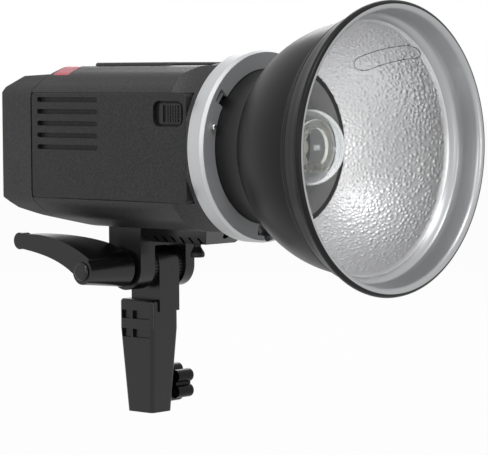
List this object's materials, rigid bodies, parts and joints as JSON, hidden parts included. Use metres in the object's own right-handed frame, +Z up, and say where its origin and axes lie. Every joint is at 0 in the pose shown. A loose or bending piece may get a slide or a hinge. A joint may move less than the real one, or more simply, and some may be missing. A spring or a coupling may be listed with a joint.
{
  "type": "monolight strobe",
  "caption": "Cordless studio monolight strobe with a bowl reflector on a bayonet mount, a side battery, and a tilting bracket that clamps on a light stand's stud.",
  "frame": {"origin": "centre of the stand socket's mouth, at the bottom of the grip", "axes": "+Z up along the socket, -Y where the flash fires, -X the battery's side"},
  "size_m": [0.185, 0.3073, 0.2745],
  "materials": {
    "housing_plastic": "fine grain",
    "battery_plastic": "fine grain",
    "red_window": "translucent",
    "screen_glass": "polished",
    "key_plastic": "satin",
    "inner_plastic": "moulded",
    "circuit_board": "solder mask",
    "capacitor_can": "drawn",
    "copper_coil": "enamelled wire",
    "cell_wrap": "shrink film",
    "contact_metal": "plated",
    "ring_aluminium": "brushed",
    "plate_metal": "satin",
    "steel": "zinc plated",
    "chromed_steel": "polished",
    "ceramic": "glazed",
    "clear_glass": "polished",
    "frosted_glass": "frosted",
    "reflector_metal": "satin outside, hammered silver inside",
    "bracket_metal": "satin",
    "handle_plastic": "fine grain"
  },
  "bodies": {
    "grip": {"grip": "bracket_metal", "near_tilt_disc": "steel", "far_tilt_disc": "steel"},
    "head": {"main_housing": "housing_plastic", "rear_cover": "housing_plastic", "top_cover": "housing_plastic", "sensor_window": "red_window", "screen_window": "screen_glass", "dial_encoder": "inner_plastic", "rocker_frame": "inner_plastic", "port_block": "inner_plastic", "fan_frame": "inner_plastic", "screen_module": "inner_plastic", "control_board": "circuit_board", "main_board": "circuit_board", "inverter_board": "circuit_board", "flash_capacitors": "capacitor_can", "heat_sink": "capacitor_can", "inductors": "copper_coil", "mount_ring": "ring_aluminium", "mount_plate": "plate_metal", "front_bulkhead": "plate_metal", "case_screws": "steel", "bracket_screws": "steel", "tilt_bolt": "steel", "tube_caps": "steel", "lamp_base": "ceramic", "glass_dome": "clear_glass", "flash_tube": "clear_glass", "modelling_lamp": "frosted_glass", "head_bracket": "bracket_metal"},
    "reflector": {"reflector_bowl": "reflector_metal", "slot_cover": "reflector_metal", "reflector_collar": "reflector_metal"},
    "battery": {"battery_face": "battery_plastic", "battery_tray": "battery_plastic", "battery_cells": "cell_wrap", "battery_contacts": "contact_metal"},
    "battery_latch": {"battery_latch": "battery_plastic"},
    "mount_lock": {"lock_pin": "chromed_steel", "lock_carrier": "inner_plastic", "release_tab": "key_plastic"},
    "clamp_sleeve": {"lever_sleeve": "steel", "lever_spring": "steel"},
    "clamp_lever": {"lever": "handle_plastic", "lever_cap": "handle_plastic"},
    "stand_pad": {"stand_pad": "contact_metal"},
    "stand_knob": {"stand_knob": "handle_plastic"},
    "umbrella_pad": {"umbrella_pad": "contact_metal"},
    "umbrella_knob": {"umbrella_knob": "chromed_steel"},
    "dial": {"dial": "key_plastic"},
    "set_button": {"set_button": "key_plastic"},
    "test_button": {"test_button": "key_plastic"},
    "power_rocker": {"power_rocker": "key_plastic"},
    "port_flap": {"port_flap": "key_plastic"},
    "fan_rotor": {"fan_rotor": "inner_plastic"},
    "menu_button_1": {"menu_button_1": "key_plastic"},
    "menu_button_2": {"menu_button_2": "key_plastic"},
    "menu_button_3": {"menu_button_3": "key_plastic"},
    "menu_button_4": {"menu_button_4": "key_plastic"}
  },
  "joints": [
    {"name": "head_tilt", "type": "hinge", "parent": "grip", "child": "head", "pos_m": [0, -0.0035, 0.0995], "axis": [1, 0, 0], "range_deg": [-90, 70]},
    {"name": "lever_turn", "type": "hinge", "parent": "head", "child": "clamp_sleeve", "pos_m": [0, -0.0035, 0.0995], "axis": [1, 0, 0], "range_deg": [-150, 0]},
    {"name": "lever_pull", "type": "slide", "parent": "clamp_sleeve", "child": "clamp_lever", "axis": [-1, 0, 0], "range_m": [0, 0.0035], "stiffness_N_per_m": 400},
    {"name": "stand_pad_slide", "type": "slide", "parent": "grip", "child": "stand_pad", "axis": [-1, 0, 0], "range_m": [0, 0.003]},
    {"name": "stand_knob_turn", "type": "hinge", "parent": "stand_pad", "child": "stand_knob", "pos_m": [0.017, 0, 0.017], "axis": [-1, 0, 0], "range_deg": [0, 866]},
    {"name": "umbrella_pad_slide", "type": "slide", "parent": "head", "child": "umbrella_pad", "axis": [0, 0, 1], "range_m": [0, 0.0025]},
    {"name": "umbrella_knob_turn", "type": "hinge", "parent": "umbrella_pad", "child": "umbrella_knob", "pos_m": [0, -0.046, 0.11], "axis": [0, 0, 1], "range_deg": [0, 1128]},
    {"name": "battery_slide", "type": "slide", "parent": "head", "child": "battery", "axis": [-1, 0, 0], "range_m": [0, 0.045]},
    {"name": "battery_latch_slide", "type": "slide", "parent": "battery", "child": "battery_latch", "axis": [0, 1, 0], "range_m": [0, 0.0045], "stiffness_N_per_m": 300},
    {"name": "mount_lock_slide", "type": "slide", "parent": "head", "child": "mount_lock", "axis": [0, 1, 0], "range_m": [0, 0.003], "stiffness_N_per_m": 500},
    {"name": "reflector_twist", "type": "hinge", "parent": "head", "child": "reflector", "pos_m": [0, -0.15, 0.182], "axis": [0, -1, 0], "range_deg": [0, 28]},
    {"name": "dial_turn", "type": "hinge", "parent": "head", "child": "dial", "pos_m": [0, 0.088, 0.1595], "axis": [0, 1, 0], "continuous": true},
    {"name": "set_button_press", "type": "slide", "parent": "head", "child": "set_button", "axis": [0, -1, 0], "range_m": [0, 0.0008], "stiffness_N_per_m": 300},
    {"name": "test_button_press", "type": "slide", "parent": "head", "child": "test_button", "axis": [0, -1, 0], "range_m": [0, 0.0008], "stiffness_N_per_m": 300},
    {"name": "power_rocker_turn", "type": "hinge", "parent": "head", "child": "power_rocker", "pos_m": [-0.043, 0.08, 0.194], "axis": [1, 0, 0], "range_deg": [-7, 7]},
    {"name": "port_flap_turn", "type": "hinge", "parent": "head", "child": "port_flap", "pos_m": [0.0506, 0.08525, 0.186], "axis": [0, 0, -1], "range_deg": [0, 110]},
    {"name": "fan_spin", "type": "hinge", "parent": "head", "child": "fan_rotor", "pos_m": [0.05, 0, 0.182], "axis": [1, 0, 0], "continuous": true},
    {"name": "menu_button_1_press", "type": "slide", "parent": "head", "child": "menu_button_1", "axis": [0, -1, 0], "range_m": [0, 0.0008], "stiffness_N_per_m": 300},
    {"name": "menu_button_2_press", "type": "slide", "parent": "head", "child": "menu_button_2", "axis": [0, -1, 0], "range_m": [0, 0.0008], "stiffness_N_per_m": 300},
    {"name": "menu_button_3_press", "type": "slide", "parent": "head", "child": "menu_button_3", "axis": [0, -1, 0], "range_m": [0, 0.0008], "stiffness_N_per_m": 300},
    {"name": "menu_button_4_press", "type": "slide", "parent": "head", "child": "menu_button_4", "axis": [0, -1, 0], "range_m": [0, 0.0008], "stiffness_N_per_m": 300}
  ],
  "couplings": [
    {"joint": "stand_knob_turn", "follows": "stand_pad_slide", "rad_per_m": 5026.5},
    {"joint": "umbrella_knob_turn", "follows": "umbrella_pad_slide", "rad_per_m": 7854}
  ]
}
